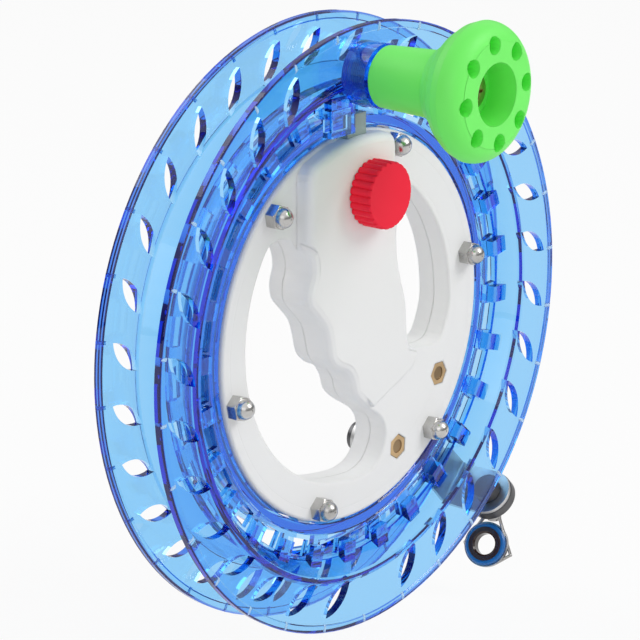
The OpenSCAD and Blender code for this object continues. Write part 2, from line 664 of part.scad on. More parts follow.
module lock_knob() color([0.92, 0.12, 0.20]) stand() translate([lock_x, lock_z, knob_seat_w])
    difference() {
    lobe_r = lock_knob_r * 0.115;
    core_r = lock_knob_r - lobe_r;
    intersection() {
        union() {
            cylinder(r = core_r, h = lock_knob_t);
            for (k = [0:lobe_count - 1]) polar(core_r, 360 / lobe_count * k)
                cylinder(r = lobe_r, h = lock_knob_t);
        }
        rotate_extrude() {
            square([lock_knob_r - 1, lock_knob_t]);
            square([lock_knob_r + lobe_r, lock_knob_t - 1]);
            translate([lock_knob_r - 1, lock_knob_t - 1]) circle(1);
        }
    }
    translate([0, 0, -over]) cylinder(r = lock_spindle_r, h = lock_knob_t * 0.7 + over);
}
// the cam's slot moves the pawl's pin out as the knob turns through its angle
function slot_point(a, side) = let(r = pin_rest_r + pawl_travel * (90 - a) / lock_turn + side)
    [r * cos(a), r * sin(a)];
module lock_cam() color(steel) stand() translate([lock_x, lock_z, 0]) {
    slot_r = pin_r + pass_gap;
    translate([0, 0, cam_w0]) difference() {
        cylinder(r = cam_r, h = cam_t);
        translate([0, 0, -over]) linear_extrude(cam_t + 2 * over) {
            polygon(concat([for (a = [90:-10:90 - lock_turn]) slot_point(a, slot_r)],
                [for (a = [90 - lock_turn:10:90]) slot_point(a, -slot_r)]));
            translate(slot_point(90, 0)) circle(slot_r);
            translate(slot_point(90 - lock_turn, 0)) circle(slot_r);
        }
    }
    translate([0, 0, cam_w1]) cylinder(r = lock_spindle_r,
        h = knob_seat_w + lock_knob_t * 0.7 - cam_w1);
}
module lock_pawl() color([0.75, 0.78, 0.78]) stand() difference() {
    union() {
        translate([lock_x - pawl_body_w / 2, foot_z, pawl_w0])
            cube([pawl_body_w, shoulder_z - foot_z, pawl_t]);
        translate([nose_x - pawl_w / 2, foot_z, pawl_w0])
            cube([pawl_w, nose_z - foot_z, pawl_t]);
    }
    translate([lock_x, lock_z + pin_rest_r, 0]) cylinder(r = pin_r, h = roof_w);
}
module pawl_pin() color(steel) stand() translate([lock_x, lock_z + pin_rest_r, pawl_w0])
    cylinder(r = pin_r, h = pawl_t + pass_gap + cam_t - slide_gap);

// middle line of the bracket sheet in the plane of radius and axis, with round bends
function bend(a, b, c, r) = let(u = (a - b) / norm(a - b), v = (c - b) / norm(c - b),
    half = acos(u * v) / 2, t = r / tan(half), m = (u + v) / norm(u + v),
    o = b + m * r / sin(half), s = b + u * t - o, e = b + v * t - o,
    a0 = atan2(s[1], s[0]), turn = atan2(s[0] * e[1] - s[1] * e[0], s * e))
    [for (k = [0:4]) o + r * [cos(a0 + turn * k / 4), sin(a0 + turn * k / 4)]];
function side(p, d) = [for (i = [0:len(p) - 1])
    let(u = p[min(i + 1, len(p) - 1)] - p[max(i - 1, 0)]) p[i] + d * [-u[1], u[0]] / norm(u)];
module guide_bracket() color(steel) stand() {
    half_t = sheet_t / 2;
    p0 = [bracket_bolt_r + foot_r / 2, -arm_w0 - half_t];
    p1 = [arm_r1, -arm_w0 - half_t];
    p2 = [arm_r2, -arm_w1 - half_t];
    p3 = [lip_r1 - half_t, -arm_w1 - half_t];
    p4 = [lip_r1 - half_t, swivel_w];
    path = concat([p0], bend(p0, p1, p2, bend_r), bend(p1, p2, p3, bend_r),
        bend(p2, p3, p4, bend_r), [p4]);
    left = side(path, half_t - skin);
    right = side(path, skin - half_t);
    difference() {
        union() {
            rotate([0, 0, guide_a]) rotate([90, 0, 0]) translate([0, 0, skin - arm_w / 2])
                linear_extrude(arm_w - 2 * skin) polygon(concat(left,
                    [for (i = [len(right) - 1:-1:0]) right[i]]));
            rotate([0, 0, guide_a]) translate([lip_r0, 0, swivel_w]) rotate([0, 90, 0])
                cylinder(r = arm_w / 2, h = sheet_t);
            translate([0, 0, -arm_w0 - sheet_t]) linear_extrude(sheet_t) foot_outline();
        }
        for (s = [-1, 1]) polar(bracket_bolt_r, foot_a + s * bolt_spread)
            translate([0, 0, -arm_w1]) cylinder(r = bolt_r + fit_gap, h = arm_w1);
        polar(bearing_pitch_r, bearing_a - 360 / bearing_count)
            translate([0, 0, -arm_w1]) cylinder(r = nut_r + pass_gap * 2, h = arm_w1);
        rotate([0, 0, guide_a]) translate([lip_r0 - over, 0, swivel_w]) rotate([0, 90, 0])
            cylinder(r = swivel_pin_r + run_gap, h = sheet_t + 2 * over);
    }
}
// flat part of the bracket: a foot over both bolts, the arm's root and an eye round the bolt
module foot_outline() {
    reach = bracket_bolt_r * sin(bolt_spread);
    waist = foot_r * 0.98;
    rotate([0, 0, foot_a]) translate([bracket_bolt_r * cos(bolt_spread) - waist, -reach])
        square([2 * waist, 2 * reach]);
    for (s = [-1, 1]) polar(bracket_bolt_r, foot_a + s * bolt_spread) circle(foot_r);
    rotate([0, 0, guide_a]) translate([bracket_bolt_r, -arm_w / 2])
        square([arm_r1 - 2 * bend_r - bracket_bolt_r, arm_w]);
    polar(bearing_pitch_r, bearing_a - 360 / bearing_count) circle(nut_r + 4 * small_r * 2.4);
}
module at_bracket_bolts() for (s = [-1, 1]) polar(bracket_bolt_r, foot_a + s * bolt_spread)
    children();
module bracket_bolts() color(dark) stand() at_bracket_bolts() {
    translate([0, 0, -arm_w0 - sheet_t - bracket_head_h]) difference() {
        cylinder(r1 = bracket_head_r - small_r, r2 = bracket_head_r, h = bracket_head_h);
        translate([0, 0, -over]) hexagon(bolt_r * 1.2, bracket_head_h / 2 + over);
    }
    translate([0, 0, -arm_w0 - sheet_t - fit_gap])
        cylinder(r = bolt_r, h = 2 * disc_w + sheet_t - small_r);
}
module bracket_nuts() color(brass) stand() at_bracket_bolts() difference() {
    translate([0, 0, disc_w - trap_h]) hexagon(nut_af, nut_h);
    translate([0, 0, disc_w - trap_h - over]) cylinder(r = bolt_r + fit_gap, h = nut_h + 2 * over);
}

// places its children on the swivel axis: x outwards, z to the crank side
module at_swivel() stand() rotate([0, 0, guide_a]) translate([0, 0, swivel_w]) children();
module outwards(r) translate([r, 0, 0]) rotate([0, 90, 0]) children();
module swivel_housing() color(dark) at_swivel() outwards(lip_r1) difference() {
    rotate_extrude() {
        square([swivel_r, swivel_h - small_r]);
        square([swivel_r - small_r, swivel_h]);
    }
    translate([0, 0, -over]) cylinder(r = swivel_pin_r + run_gap, h = swivel_h + 2 * over);
}
module swivel_pin() color(steel) at_swivel() {
    head_h = swivel_head_r * 0.92;
    outwards(lip_r0 - pass_gap - head_h) rotate_extrude() {
        translate([0, small_r * 2]) square([swivel_head_r, head_h - small_r * 2]);
        square([swivel_head_r - small_r * 2, head_h]);
        translate([swivel_head_r - small_r * 2, small_r * 2]) circle(small_r * 2);
    }
    outwards(lip_r0 - pass_gap - fit_gap)
        cylinder(r = swivel_pin_r, h = pin_end_r - lip_r0 + pass_gap + fit_gap);
}
module along_tube(d) translate([tube_base[0], tube_base[1], 0]) rotate([0, 0, tube_lean])
    translate([d, 0, 0]) rotate([0, 90, 0]) children();
module guide_tube() color(steel) at_swivel() difference() {
    union() {
        outwards(hub_r0) cylinder(r = hub_r, h = hub_h);
        along_tube(0) cylinder(r = tube_r, h = tube_l);
    }
    outwards(hub_r0 - over) cylinder(r = swivel_pin_r, h = pin_end_r - hub_r0 + over);
    along_tube(tube_l * 0.6) cylinder(r = tube_bore_r, h = tube_l);
}
// frame of the eye: points are given in the eye's own axes, y pointing away from the swivel
function from_eye(p) = let(ct = cos(eye_tilt), st = sin(eye_tilt), ca = cos(eye_turn),
    sa = sin(eye_turn)) [eye_c[0] + p[0] * ct * ca - p[1] * sa + p[2] * st * ca,
    eye_c[1] + p[0] * ct * sa + p[1] * ca + p[2] * st * sa,
    eye_c[2] - swivel_w - p[0] * st + p[2] * ct];
module rod(p, q, r) {
    d = q - p;
    translate(p) rotate([0, acos(d[2] / norm(d)), atan2(d[1], d[0])])
        cylinder(r = r, h = norm(d));
}
module guide_frame() color(steel) at_swivel() {
    c_mid = tube_l * 0.52 + collar_l / 2;
    mid = [tube_base[0] + c_mid * tube_dir[0], tube_base[1] + c_mid * tube_dir[1], 0];
    along_tube(c_mid - collar_l / 2) difference() {
        cylinder(r = collar_r, h = collar_l);
        translate([0, 0, -over]) cylinder(r = tube_r, h = collar_l + 2 * over);
    }
    at_eye() rotate_extrude() translate([band_out_r, -wire_r * 1.5])
        square([eye_r + wire_r * 0.4 - band_out_r, wire_r * 3]);
    grip_r = (tube_r + collar_r) / 2;
    reach = eye_r + wire_r * 0.4;
    for (s = [-1, 1]) difference() {
        a = mid + [0, 0, -s * grip_r];
        b = from_eye([s * reach * 1.12, eye_r * 0.16, -wire_r * 4]);
        union() {
            rod(a, from_eye([s * reach * 0.94, -eye_r * 0.12, 0]), wire_r);
            // the outer wire runs on past the eye and is bent back to its far side
            rod(a - [wire_r, 0, 0], b, wire_r);
            translate(b) sphere(wire_r * 1.15);
            rod(b, from_eye([s * reach * 0.68, reach * 0.68, 0]), wire_r);
        }
        at_eye() cylinder(r = band_out_r, h = eye_r, center = true);
        along_tube(0) cylinder(r = tube_r, h = tube_l);
    }
}
module at_eye() translate([eye_c[0], eye_c[1], 0]) rotate([0, eye_tilt, eye_turn]) children();
module guide_band() color([0.1, 0.35, 0.75]) at_swivel() at_eye() rotate_extrude()
    difference() {
        translate([insert_out_r, -band_w / 2]) square([band_out_r - insert_out_r, band_w]);
        for (s = [-1, 1]) translate([band_out_r, s * band_w / 2]) rotate([0, 0, 45])
            square(wire_r * 1.2, center = true);
    }
module guide_insert() color(dark) at_swivel() at_eye() rotate_extrude() difference() {
    translate([eye_bore_r, -insert_w / 2]) square([insert_out_r - eye_bore_r, insert_w]);
    for (s = [-1, 1]) translate([eye_bore_r, s * insert_w / 2]) rotate([0, 0, 45])
        square(wire_r * 1.6, center = true);
}

hand_disc_front();
hand_disc_rear();
bearing_bolts();
acorn_nuts();
bearing_inner_rings();
lock_retainer();
retainer_screws();
guide_bracket();
bracket_bolts();
bracket_nuts();
swivel_housing();
wheel_front_half();
wheel_rear_half();
crank_sleeve();
crank_spindle();
crank_screw();
crank_knob();
knob_bush();
bearing(1);  // bearing_1
bearing(2);  // bearing_2
bearing(3);  // bearing_3
bearing(4);  // bearing_4
bearing(5);  // bearing_5
bearing(6);  // bearing_6
lock_knob();
lock_cam();
lock_pawl();
pawl_pin();
swivel_pin();
guide_tube();
guide_frame();
guide_band();
guide_insert();
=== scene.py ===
import math

import bmesh
import bpy
from mathutils import Matrix, Vector


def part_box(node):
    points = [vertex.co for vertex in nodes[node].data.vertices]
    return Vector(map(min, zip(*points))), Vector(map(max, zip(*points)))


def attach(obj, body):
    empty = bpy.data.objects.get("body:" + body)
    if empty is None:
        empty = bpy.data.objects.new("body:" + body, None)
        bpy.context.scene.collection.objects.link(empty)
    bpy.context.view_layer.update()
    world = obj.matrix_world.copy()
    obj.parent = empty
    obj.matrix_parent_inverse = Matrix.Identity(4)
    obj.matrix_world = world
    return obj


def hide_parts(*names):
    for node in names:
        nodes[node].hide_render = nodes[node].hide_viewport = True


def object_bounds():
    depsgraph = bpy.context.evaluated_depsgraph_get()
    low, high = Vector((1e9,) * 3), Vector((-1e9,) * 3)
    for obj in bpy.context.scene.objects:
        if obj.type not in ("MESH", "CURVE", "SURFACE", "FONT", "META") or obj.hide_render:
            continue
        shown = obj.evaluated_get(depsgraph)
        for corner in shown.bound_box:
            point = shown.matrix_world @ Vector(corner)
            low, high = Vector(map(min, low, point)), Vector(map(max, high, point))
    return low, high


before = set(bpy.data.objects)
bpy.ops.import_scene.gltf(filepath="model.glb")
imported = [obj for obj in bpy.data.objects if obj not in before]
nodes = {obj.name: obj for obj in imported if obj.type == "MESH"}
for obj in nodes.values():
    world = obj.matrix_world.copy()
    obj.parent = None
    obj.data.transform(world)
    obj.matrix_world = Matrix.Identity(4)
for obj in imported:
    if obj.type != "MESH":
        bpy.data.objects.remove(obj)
cad_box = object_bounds()
MM = 0.001
WHITE = (1, 1, 1, 1)
WELD = 2e-6                     # points closer than this are one point, in metres
FLAT_AREA = 1e-12               # faces smaller than this are flat, in square metres

# the photograph's camera, fitted on the flanges, the slots and the cap nuts
CAMERA_TURN, CAMERA_RISE = -50.233, 16.507          # degrees
CAMERA_BACK, CAMERA_RIGHT, CAMERA_UP = 1.02808, -0.006809, 0.000943    # metres
CAMERA_LENS, CAMERA_SENSOR = 162.38, 36.0           # millimetres

# plain light: the world's strength, the room that shows in gloss, the floor's size and its
# drop under the part
WORLD_LIGHT = 0.53
ROOM_HEIGHTS, ROOM_LIGHTS = (0.12, 0.55), (0.16, 1.0)
FLOOR_HALF, FLOOR_DROP = 6.0, 0.012
FLOOR_WHITE = 0.9               # how much of what the camera sees of the floor is plain white
BOUNCES = 24                    # enough for light that runs inside the clear flanges
LAMPS = (                       # name, place, size, power
    ("key", (0.75, -1.35, 1.25), (0.9, 0.9), 14.5),
    ("fill", (-1.3, -0.9, 0.5), (1.2, 1.0), 3.5),
    ("rim", (-0.3, 1.2, 0.9), (1.0, 1.0), 5))

# the clear plastic: what it lets through, how strongly it tints, the deeper blue painted as
# shade on its edge, and the faint painted glow that stands in for light carried inside it, with
# its strength
CLEAR_TINT, CLEAR_DENSITY = (0.08, 0.67, 0.95, 1), 370.0
EDGE_PAINTED_SHADE = (0.06, 0.16, 0.78, 1)
CLEAR_PAINTED_GLOW, CLEAR_PAINTED_GLOW_STRENGTH = (0.04, 0.05, 0.50, 1), 0.035

# depths of the fine relief and rounding of the edges, in millimetres
GRAIN_DEPTH, LINE_DEPTH, WAVE_DEPTH, BRUSH_DEPTH = 0.04, 0.12, 0.6, 0.03
PLASTIC_EDGE, SHELL_EDGE, METAL_EDGE = 0.4, 1.1, 0.25
TARNISH = 0.7                   # the metals' darker spots, as a share of their colour

# radii on the part, in millimetres
MOULD_LINES = ((66.9, 0.12), (57.6, 0.1))           # round lines on the shells: radius, width
EDGE_START, EDGE_FULL = 109.1, 109.5                # the flanges' outer edge, where a deeper blue is painted as shade
SEAL_R = 5.15                                       # the bearings' black seals
SLEEVE_RING_R, SLEEVE_AIR = 6.5, 0.08               # the sleeve's rings, and the air round them

# the folded corner of the front shell's loft: one row per ring, with the point that its
# doubled points are drawn to and how far they lie from it
FOLDED_CORNER = (
    (-26.47, -14.0, 62.09, 1.4), (-27.29, -13.77, 62.89, 0.9), (-27.98, -13.12, 63.57, 0.5),
    (-28.45, -12.15, 64.02, 0.35), (-28.59, -11.0, 64.22, 0.4))
RING_LEVEL = 0.02               # how far points of one ring may differ in depth

# the light ridges across the rim beads, one beside each slot: the side and the angle of its
# first ridge, rows of radius and height over the bead, and rows of place across and height
RIDGE_COUNT = 30
RIDGE_FIRST = ((-1, 112.2), (1, 100.1))
RIDGE_ALONG = ((106.7, -0.55), (107.4, 0.1), (108.4, 0.16), (109.5, 0.1), (109.85, -0.3))
RIDGE_ACROSS = ((-0.7, -0.3), (-0.35, 0.0), (0.0, 0.06), (0.35, 0.0), (0.7, -0.3))


# camera and light
def camera():
    """Sets up the photograph's camera."""
    az, el = math.radians(CAMERA_TURN), math.radians(CAMERA_RISE)
    back = Vector((math.sin(az) * math.cos(el), -math.cos(az) * math.cos(el), math.sin(el)))
    right = Vector((math.cos(az), math.sin(az), 0.0))
    up = back.cross(right)
    place = back * CAMERA_BACK + right * CAMERA_RIGHT + up * CAMERA_UP
    data = bpy.data.cameras.new("photo_camera")
    data.lens = CAMERA_LENS
    data.sensor_width = CAMERA_SENSOR
    data.clip_start = 0.01
    data.clip_end = 50.0
    cam = bpy.data.objects.new("photo_camera", data)
    cam.matrix_world = Matrix((
        (right.x, up.x, back.x, place.x), (right.y, up.y, back.y, place.y),
        (right.z, up.z, back.z, place.z), (0, 0, 0, 1)))
    bpy.context.scene.collection.objects.link(cam)
    bpy.context.scene.camera = cam


def lamp(name, place, size, power):
    """A soft lamp that looks at the middle of the part."""
    data = bpy.data.lights.new(name, "AREA")
    data.shape = "RECTANGLE"
    data.size, data.size_y = size
    data.energy = power
    ob = bpy.data.objects.new(name, data)
    ob.location = place
    ob.rotation_euler = (-Vector(place)).to_track_quat("-Z", "Y").to_euler()
    bpy.context.scene.collection.objects.link(ob)


def math_node(nt, op, *inputs):
    """One sum of sockets or plain numbers."""
    n = nt.nodes.new("ShaderNodeMath")
    n.operation = op
    for k, v in enumerate(inputs):
        if isinstance(v, (int, float)):
            n.inputs[k].default_value = v
        else:
            nt.links.new(v, n.inputs[k])
    return n.outputs[0]


def glow(nt, strength):
    """White light of a strength that is a number or a socket."""
    g = nt.nodes.new("ShaderNodeEmission")
    g.inputs["Color"].default_value = WHITE
    if isinstance(strength, (int, float)):
        g.inputs["Strength"].default_value = strength
    else:
        nt.links.new(strength, g.inputs["Strength"])
    return g.outputs[0]


def mixed(nt, factor, first, second):
    """Two shaders, the second one's share being the factor."""
    m = nt.nodes.new("ShaderNodeMixShader")
    nt.links.new(factor, m.inputs[0])
    nt.links.new(first, m.inputs[1])
    nt.links.new(second, m.inputs[2])
    return m.outputs[0]


def studio_world(nt, background, out):
    """Plain light; white to camera and glass, and a softbox room with a dim horizon to gloss."""
    path = nt.nodes.new("ShaderNodeLightPath")
    tc = nt.nodes.new("ShaderNodeTexCoord")
    xyz = nt.nodes.new("ShaderNodeSeparateXYZ")
    nt.links.new(tc.outputs["Generated"], xyz.inputs[0])
    height = math_node(nt, "ABSOLUTE", xyz.outputs["Z"])
    room = span(nt, height, *ROOM_HEIGHTS, *ROOM_LIGHTS)
    clear = math_node(nt, "MAXIMUM", path.outputs["Is Camera Ray"],
                      path.outputs["Is Transmission Ray"])
    seen = mixed(nt, path.outputs["Is Glossy Ray"], background, glow(nt, room))
    nt.links.new(mixed(nt, clear, seen, glow(nt, 1.0)), out.inputs["Surface"])


def studio():
    """World, floor, lamps and how the picture is shown."""
    world = bpy.data.worlds.new("studio")
    bpy.context.scene.world = world
    world.use_nodes = True
    nt = world.node_tree
    bg = nt.nodes["Background"]
    bg.inputs["Color"].default_value = WHITE
    bg.inputs["Strength"].default_value = WORLD_LIGHT
    studio_world(nt, bg.outputs[0], nt.nodes["World Output"])

    me = bpy.data.meshes.new("floor")
    s, z = FLOOR_HALF, cad_box[0][2] - FLOOR_DROP
    me.from_pydata([(-s, -s, z), (s, -s, z), (s, s, z), (-s, s, z)], [], [(0, 1, 2, 3)])
    floor = bpy.data.objects.new("floor", me)
    bpy.context.scene.collection.objects.link(floor)
    m = bpy.data.materials.new("floor")
    m.use_nodes = True
    nt = m.node_tree
    b = nt.nodes["Principled BSDF"]
    b.inputs["Base Color"].default_value = (0.86, 0.86, 0.86, 1)
    b.inputs["Roughness"].default_value = 0.9
    b.inputs["Specular IOR Level"].default_value = 0.1
    out = nt.nodes["Material Output"]
    path = nt.nodes.new("ShaderNodeLightPath")
    seen = math_node(nt, "MAXIMUM", path.outputs["Is Camera Ray"],
                     math_node(nt, "MAXIMUM", path.outputs["Is Glossy Ray"],
                               path.outputs["Is Transmission Ray"]))
    share = math_node(nt, "MULTIPLY", seen, FLOOR_WHITE)
    nt.links.new(mixed(nt, share, b.outputs[0], glow(nt, 1.0)), out.inputs["Surface"])
    me.materials.append(m)

    for row in LAMPS:
        lamp(*row)
    bpy.context.scene.view_settings.view_transform = "Standard"
    bpy.context.scene.cycles.max_bounces = BOUNCES
    bpy.context.scene.cycles.transmission_bounces = BOUNCES


# materials
def new_material(name):
    """A material, its node tree and its shader."""
    m = bpy.data.materials.new(name)
    m.use_nodes = True
    return m, m.node_tree, m.node_tree.nodes["Principled BSDF"]


def noise(nt, scale, detail=3.0, rough=0.5):
    """Noise in the piece's own coordinates, so that it moves with the piece."""
    tc = nt.nodes.new("ShaderNodeTexCoord")
    n = nt.nodes.new("ShaderNodeTexNoise")
    n.inputs["Scale"].default_value = scale
    n.inputs["Detail"].default_value = detail
    n.inputs["Roughness"].default_value = rough
    nt.links.new(tc.outputs["Object"], n.inputs["Vector"])
    return n


def ramp(nt, fac, stops):
    """Colours for the values of a socket, from rows of position and colour."""
    r = nt.nodes.new("ShaderNodeValToRGB")
    while len(r.color_ramp.elements) < len(stops):
        r.color_ramp.elements.new(0.5)
    for e, (p, c) in zip(r.color_ramp.elements, stops):
        e.position = p
        e.color = (*c, 1.0)
    nt.links.new(fac, r.inputs["Fac"])
    return r


def bump(nt, bsdf, height, strength, depth, normal=None):
    """Fine relief in the gloss of a material, with its depth in millimetres."""
    b = nt.nodes.new("ShaderNodeBump")
    b.inputs["Strength"].default_value = strength
    b.inputs["Distance"].default_value = depth * MM
    nt.links.new(height, b.inputs["Height"])
    if normal is not None:
        nt.links.new(normal, b.inputs["Normal"])
    nt.links.new(b.outputs["Normal"], bsdf.inputs["Normal"])


def rounded(nt, radius):
    """Normals that round the edges off by a radius in millimetres."""
    bv = nt.nodes.new("ShaderNodeBevel")
    bv.samples = 4
    bv.inputs["Radius"].default_value = radius * MM
    return bv.outputs["Normal"]


def span(nt, value, lo, hi, a, b):
    """Carries a value from the range lo to hi over to the range a to b."""
    m = nt.nodes.new("ShaderNodeMapRange")
    for k, v in zip(("From Min", "From Max", "To Min", "To Max"), (lo, hi, a, b)):
        m.inputs[k].default_value = v
    nt.links.new(value, m.inputs["Value"])
    return m.outputs["Result"]


def wheel_radius(nt):
    """Distance from the wheel's axis, in the piece's own coordinates."""
    tc = nt.nodes.new("ShaderNodeTexCoord")
    xyz = nt.nodes.new("ShaderNodeSeparateXYZ")
    nt.links.new(tc.outputs["Object"], xyz.inputs[0])
    return math_node(nt, "SQRT", math_node(
        nt, "ADD", math_node(nt, "MULTIPLY", xyz.outputs["X"], xyz.outputs["X"]),
        math_node(nt, "MULTIPLY", xyz.outputs["Z"], xyz.outputs["Z"])))


def moulded(name, colour, darker, rough, grain, spec=0.45, edge=PLASTIC_EDGE, lines=()):
    """Moulded plastic: faint mottling, fine spark-eroded grain, uneven gloss, round mould
    lines at some radii."""
    m, nt, b = new_material(name)
    big = noise(nt, 9.0, 2.0)
    c = ramp(nt, big.outputs["Fac"], [(0.3, darker), (0.7, colour)])
    nt.links.new(c.outputs["Color"], b.inputs["Base Color"])
    fine = noise(nt, 2600.0, 2.0, 0.6)
    g = noise(nt, 60.0, 4.0)
    nt.links.new(span(nt, g.outputs["Fac"], 0.3, 0.7, rough - 0.05, rough + 0.07),
                 b.inputs["Roughness"])
    normal = rounded(nt, edge)
    if lines:
        r = wheel_radius(nt)
        for radius, width in lines:
            away = math_node(nt, "ABSOLUTE", math_node(nt, "SUBTRACT", r, radius * MM))
            groove = nt.nodes.new("ShaderNodeBump")
            groove.inputs["Strength"].default_value = 0.5
            groove.inputs["Distance"].default_value = LINE_DEPTH * MM
            nt.links.new(span(nt, away, 0.0, width * MM * 2, 0.0, 1.0), groove.inputs["Height"])
            nt.links.new(normal, groove.inputs["Normal"])
            normal = groove.outputs["Normal"]
    bump(nt, b, fine.outputs["Fac"], grain, GRAIN_DEPTH, normal)
    b.inputs["Specular IOR Level"].default_value = spec
    return m


def clear_blue():
    """Clear blue polycarbonate: colour from absorption, faint flow marks in the gloss, a deeper
    blue painted as shade on the flanges' outer edge, and a faint painted glow that stands in for
    the light that its edges pipe along inside."""
    m, nt, b = new_material("clear_blue")
    b.inputs["Transmission Weight"].default_value = 1.0
    b.inputs["IOR"].default_value = 1.52
    flow = noise(nt, 22.0, 3.0)
    c = ramp(nt, flow.outputs["Fac"], [(0.25, (0.95, 0.98, 1.0)), (0.75, (0.985, 0.995, 1.0))])
    # the outer edge gets a deeper blue base colour: painted shade for the longer path of light
    # through the edge
    rim = nt.nodes.new("ShaderNodeMixRGB")
    nt.links.new(span(nt, wheel_radius(nt), EDGE_START * MM, EDGE_FULL * MM, 0.0, 1.0),
                 rim.inputs["Fac"])
    nt.links.new(c.outputs["Color"], rim.inputs["Color1"])
    rim.inputs["Color2"].default_value = EDGE_PAINTED_SHADE
    nt.links.new(rim.outputs["Color"], b.inputs["Base Color"])
    nt.links.new(span(nt, flow.outputs["Fac"], 0.3, 0.7, 0.01, 0.035), b.inputs["Roughness"])
    # painted glow: a faint blue emission that stands in for light carried inside the clear
    # plastic
    b.inputs["Emission Color"].default_value = CLEAR_PAINTED_GLOW
    b.inputs["Emission Strength"].default_value = CLEAR_PAINTED_GLOW_STRENGTH
    wave = noise(nt, 55.0, 2.0)
    bump(nt, b, wave.outputs["Fac"], 0.12, WAVE_DEPTH)
    vol = nt.nodes.new("ShaderNodeVolumeAbsorption")
    vol.inputs["Color"].default_value = CLEAR_TINT
    vol.inputs["Density"].default_value = CLEAR_DENSITY
    nt.links.new(vol.outputs["Volume"], nt.nodes["Material Output"].inputs["Volume"])
    return m


def metal(name, colour, rough, brush=None):
    """Metal with fine brushing or turning lines and faint tarnish."""
    m, nt, b = new_material(name)
    b.inputs["Metallic"].default_value = 1.0
    spots = noise(nt, 120.0, 4.0)
    darker = tuple(v * TARNISH for v in colour)
    c = ramp(nt, spots.outputs["Fac"], [(0.3, darker), (0.62, colour)])
    nt.links.new(c.outputs["Color"], b.inputs["Base Color"])
    nt.links.new(span(nt, spots.outputs["Fac"], 0.3, 0.7, rough + 0.08, rough),
                 b.inputs["Roughness"])
    lines = noise(nt, 900.0, 2.0)
    if brush:
        tc = nt.nodes.new("ShaderNodeTexCoord")
        mp = nt.nodes.new("ShaderNodeMapping")
        mp.inputs["Scale"].default_value = brush
        nt.links.new(tc.outputs["Object"], mp.inputs["Vector"])
        nt.links.new(mp.outputs["Vector"], lines.inputs["Vector"])
    bump(nt, b, lines.outputs["Fac"], 0.15, BRUSH_DEPTH, rounded(nt, METAL_EDGE))
    return m


def frosted_ridge():
    """Frosted light plastic of the ridges on the rim beads."""
    m, nt, b = new_material("frosted_ridge")
    tint = ramp(nt, noise(nt, 400.0).outputs["Fac"], [(0.3, (0.50, 0.74, 0.95)),
                                                      (0.7, (0.62, 0.83, 0.98))])
    nt.links.new(tint.outputs["Color"], b.inputs["Base Color"])
    b.inputs["Roughness"].default_value = 0.35
    b.inputs["Transmission Weight"].default_value = 0.35
    return m


def dress(material, *names):
    """Gives whole CAD nodes one material."""
    for n in names:
        me = nodes[n].data
        me.materials.clear()
        me.materials.append(material)
        for p in me.polygons:
            p.material_index = 0


def paint_faces(name, material, test):
    """Gives the faces of one CAD node a second material where their middle, in millimetres,
    passes the test."""
    me = nodes[name].data
    me.materials.append(material)
    slot = len(me.materials) - 1
    for p in me.polygons:
        if test(p.center / MM):
            p.material_index = slot


def materials():
    """Dresses every node and adds the scene's own pieces."""
    blue = clear_blue()
    dress(blue, "wheel_front_half", "wheel_rear_half", "crank_sleeve")
    clear_wheel(blue)
    ring_sleeve(blue)
    rim_marks()
    white = moulded("white_shell", (0.88, 0.88, 0.88), (0.86, 0.86, 0.86), rough=0.5,
                    grain=0.18, spec=0.3, edge=SHELL_EDGE, lines=MOULD_LINES)
    dress(white, "hand_disc_front", "hand_disc_rear")
    grip_shell(white)
    green = moulded("green_knob", (0.20, 0.97, 0.155), (0.18, 0.94, 0.14), rough=0.42,
                    grain=0.2, spec=0.35)
    dress(green, "crank_knob")
    red = moulded("red_knob", (0.98, 0.022, 0.055), (0.94, 0.018, 0.048), rough=0.5,
                  grain=0.2, spec=0.15)
    dress(red, "lock_knob")
    grey = moulded("grey_pawl", (0.30, 0.38, 0.37), (0.27, 0.34, 0.33), rough=0.35, grain=0.15)
    dress(grey, "lock_pawl")
    nickel = metal("bright_nickel", (0.60, 0.59, 0.575), rough=0.2)
    dress(nickel, "acorn_nuts")
    bearings = ["bearing_%d" % k for k in range(1, 7)]
    steel = metal("plain_steel", (0.62, 0.62, 0.63), rough=0.28)
    dress(steel, "bearing_bolts", "bearing_inner_rings", "lock_retainer", "retainer_screws",
          "crank_spindle", "lock_cam", "pawl_pin", *bearings)
    seal = moulded("black_seal", (0.02, 0.02, 0.022), (0.014, 0.014, 0.016), rough=0.4,
                   grain=0.2)
    for name in bearings:
        lo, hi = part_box(name)
        mid = [(a + b) / 2 / MM for a, b in zip(lo, hi)]
        paint_faces(name, seal, lambda c, m=mid: math.hypot(c.x - m[0], c.z - m[2]) < SEAL_R)
    sheet = metal("stainless_sheet", (0.66, 0.66, 0.66), rough=0.34, brush=(1, 30, 1))
    dress(sheet, "guide_bracket")
    wire = metal("bright_wire", (0.42, 0.41, 0.40), rough=0.16)
    dress(wire, "guide_tube", "guide_frame")
    zinc = metal("yellow_zinc", (0.66, 0.46, 0.25), rough=0.30)
    dress(zinc, "bracket_nuts", "crank_screw", "knob_bush")
    black = metal("black_steel", (0.13, 0.13, 0.135), rough=0.32)
    dress(black, "bracket_bolts", "swivel_housing", "swivel_pin")
    stud = metal("stud_end", (0.36, 0.25, 0.14), rough=0.45)
    paint_faces("bracket_bolts", stud, lambda c: c.y < 0)
    band = moulded("blue_band", (0.015, 0.17, 0.52), (0.012, 0.145, 0.45), rough=0.22, grain=0.1)
    dress(band, "guide_band")
    ceramic = moulded("black_ceramic", (0.040, 0.020, 0.018), (0.028, 0.015, 0.014), rough=0.12,
                      grain=0.05)
    dress(ceramic, "guide_insert")


# the scene's own pieces
def add_piece(name, me, material, body):
    """Links a mesh as a piece that rides on a body."""
    me.materials.clear()
    me.materials.append(material)
    ob = bpy.data.objects.new(name, me)
    bpy.context.scene.collection.objects.link(ob)
    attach(ob, body)
    return ob


